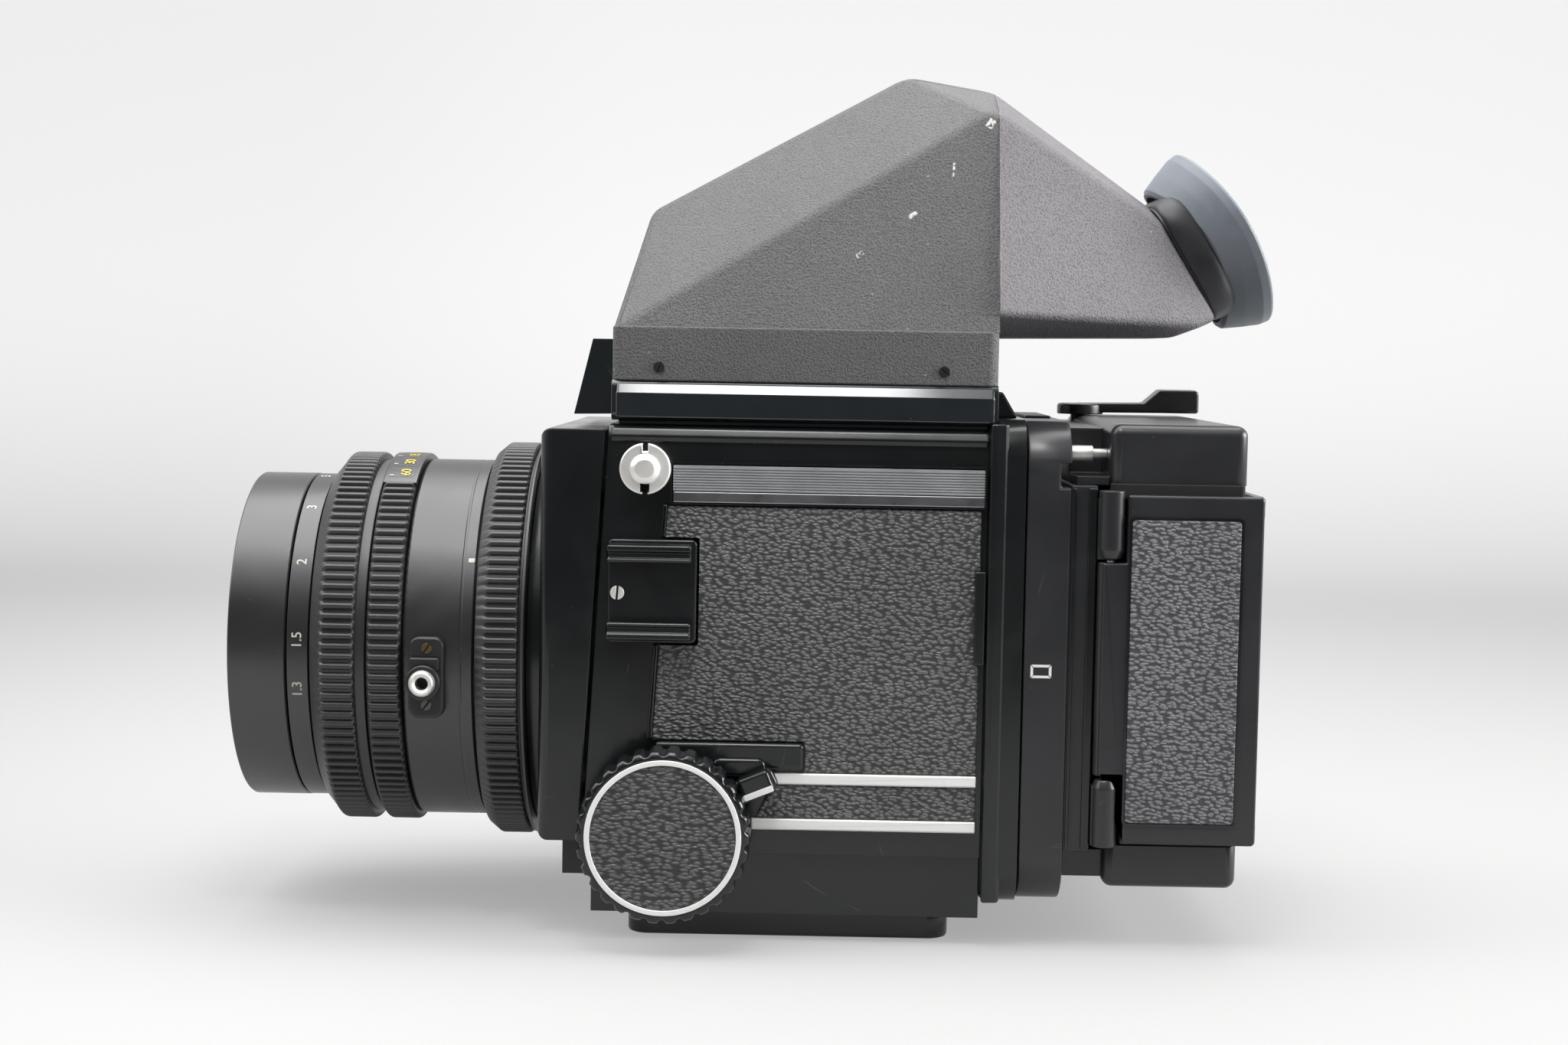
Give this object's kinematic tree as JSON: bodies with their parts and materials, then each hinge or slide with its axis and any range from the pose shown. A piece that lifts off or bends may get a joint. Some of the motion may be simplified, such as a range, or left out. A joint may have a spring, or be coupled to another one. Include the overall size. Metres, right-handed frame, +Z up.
{
  "type": "medium format film camera",
  "caption": "Box-shaped single lens reflex film camera with a bellows-focused lens board, prism finder with eyecup, revolving adapter, roll-film back, focusing knobs and side accessory shoe.",
  "frame": {"origin": "mouth of the tripod socket, in the middle of the base foot", "axes": "+X along the optical axis from the lens to the film back, -Y to the camera's left side, +Z up"},
  "size_m": [0.2485, 0.1284, 0.2038],
  "materials": {
    "black_body": "gloss black paint on cast alloy",
    "black_lens": "satin black anodised",
    "wrinkle_grey": "charcoal wrinkle paint",
    "steel": "ground steel",
    "bright_metal": "satin chrome",
    "leatherette": "pebbled black leatherette",
    "black_plastic": "satin moulded black",
    "white_plastic": "white enamel",
    "black_rubber": "matt rubber",
    "optical_glass": "polished and coated",
    "screen_plastic": "ground matt",
    "mirror_coating": "front surface mirror",
    "black_cloth": "folded black cloth",
    "brass": "turned"
  },
  "bodies": {
    "camera_body": {"body_casting": "black_body", "rear_frame": "black_body", "base_foot": "black_body", "tripod_bush": "brass", "side_leather_left": "leatherette", "side_leather_right": "leatherette", "nameplates": "bright_metal", "white_stripes": "white_plastic", "side_trim_bar": "black_body", "accessory_shoe": "black_body", "cover_screws": "steel", "strap_lugs": "bright_metal", "focusing_screen": "screen_plastic", "finder_base": "black_body", "finder_housing": "wrinkle_grey", "finder_prism": "optical_glass", "eyepiece_lens": "optical_glass", "eyecup": "black_rubber", "bellows": "black_cloth"},
    "focus_drive": {"focus_shaft": "steel", "focus_knob_left": "black_lens", "focus_knob_right": "black_lens", "knob_white_rings": "white_plastic", "knob_leather_discs": "leatherette"},
    "lock_lever": {"focus_lock_lever": "black_plastic"},
    "cocking": {"cocking_lever": "black_plastic"},
    "release": {"release_button": "black_plastic"},
    "mirror": {"mirror_frame": "steel", "mirror_glass": "mirror_coating"},
    "catch": {"finder_catch": "black_plastic"},
    "standard": {"front_standard": "black_body", "focus_racks": "steel", "lens_barrel": "black_lens", "front_barrel": "black_lens", "front_glass": "optical_glass", "shutter_unit": "black_lens", "rear_glass": "optical_glass", "socket_plate": "black_body", "mirror_up_socket": "bright_metal", "socket_screws": "steel"},
    "bayonet": {"bayonet_ring": "black_lens"},
    "speed_ring": {"shutter_speed_ring": "black_lens"},
    "stop_ring": {"aperture_ring": "black_lens"},
    "range_ring": {"distance_ring": "black_lens"},
    "film_back": {"revolving_adapter": "black_body", "interlock_pin": "steel", "film_gate": "black_body", "back_top_block": "black_body", "back_bottom_block": "black_body", "back_side_wall": "black_body", "spool_carriers": "black_plastic", "pressure_plate": "steel", "hinge_pills": "bright_metal"},
    "lock_top": {"adapter_lock_top": "black_plastic"},
    "lock_bottom": {"adapter_lock_bottom": "black_plastic"},
    "door": {"back_door": "black_body", "door_leather": "leatherette"},
    "slide": {"dark_slide": "steel"},
    "advance": {"advance_lever": "black_plastic"},
    "takeup": {"takeup_spool": "black_plastic"}
  },
  "joints": [
    {"name": "focus_slide", "type": "slide", "parent": "camera_body", "child": "standard", "axis": [-1, 0, 0], "range_m": [0, 0.046], "deforming": ["bellows"]},
    {"name": "focus_shaft_turn", "type": "hinge", "parent": "camera_body", "child": "focus_drive", "pos_m": [-0.0285, 0, 0.0277], "axis": [0, 1, 0], "range_deg": [0, 440]},
    {"name": "focus_lock_turn", "type": "hinge", "parent": "camera_body", "child": "lock_lever", "pos_m": [-0.0285, 0, 0.0277], "axis": [0, -1, 0], "range_deg": [0, 30]},
    {"name": "cocking_turn", "type": "hinge", "parent": "camera_body", "child": "cocking", "pos_m": [0.014, 0.05, 0.052], "axis": [0, -1, 0], "range_deg": [0, 55]},
    {"name": "release_press", "type": "slide", "parent": "camera_body", "child": "release", "axis": [1, 0, 0], "range_m": [0, 0.003], "stiffness_N_per_m": 400},
    {"name": "mirror_swing", "type": "hinge", "parent": "camera_body", "child": "mirror", "pos_m": [0.04, 0, 0.1105], "axis": [0, 1, 0], "range_deg": [0, 45]},
    {"name": "finder_catch_slide", "type": "slide", "parent": "camera_body", "child": "catch", "axis": [1, 0, 0], "range_m": [0, 0.0025], "stiffness_N_per_m": 400},
    {"name": "bayonet_turn", "type": "hinge", "parent": "standard", "child": "bayonet", "pos_m": [-0.068, 0, 0.065], "axis": [1, 0, 0], "range_deg": [0, 50]},
    {"name": "shutter_speed_turn", "type": "hinge", "parent": "standard", "child": "speed_ring", "pos_m": [-0.095, 0, 0.065], "axis": [1, 0, 0], "range_deg": [0, 130]},
    {"name": "aperture_turn", "type": "hinge", "parent": "standard", "child": "stop_ring", "pos_m": [-0.106, 0, 0.065], "axis": [1, 0, 0], "range_deg": [0, 90]},
    {"name": "distance_turn", "type": "hinge", "parent": "standard", "child": "range_ring", "pos_m": [-0.116, 0, 0.065], "axis": [1, 0, 0], "range_deg": [0, 80]},
    {"name": "back_revolve", "type": "hinge", "parent": "camera_body", "child": "film_back", "pos_m": [0.053, 0, 0.065], "axis": [1, 0, 0], "range_deg": [-90, 0]},
    {"name": "lock_top_slide", "type": "slide", "parent": "film_back", "child": "lock_top", "axis": [0, 1, 0], "range_m": [0, 0.006]},
    {"name": "lock_bottom_slide", "type": "slide", "parent": "film_back", "child": "lock_bottom", "axis": [0, 1, 0], "range_m": [0, 0.006]},
    {"name": "door_open", "type": "hinge", "parent": "film_back", "child": "door", "pos_m": [0.0721, -0.05, 0.065], "axis": [0, 0, -1], "range_deg": [0, 110]},
    {"name": "dark_slide_pull", "type": "slide", "parent": "film_back", "child": "slide", "axis": [0, 1, 0], "range_m": [0, 0.088]},
    {"name": "advance_turn", "type": "hinge", "parent": "film_back", "child": "advance", "pos_m": [0.074, 0.035, 0.122], "axis": [0, 0, 1], "range_deg": [0, 140]},
    {"name": "takeup_spin", "type": "hinge", "parent": "film_back", "child": "takeup", "pos_m": [0.0865, 0.031, 0.065], "axis": [0, 0, 1], "continuous": true}
  ],
  "couplings": [
    {"joint": "focus_shaft_turn", "follows": "focus_slide", "rad_per_m": 166.67}
  ]
}
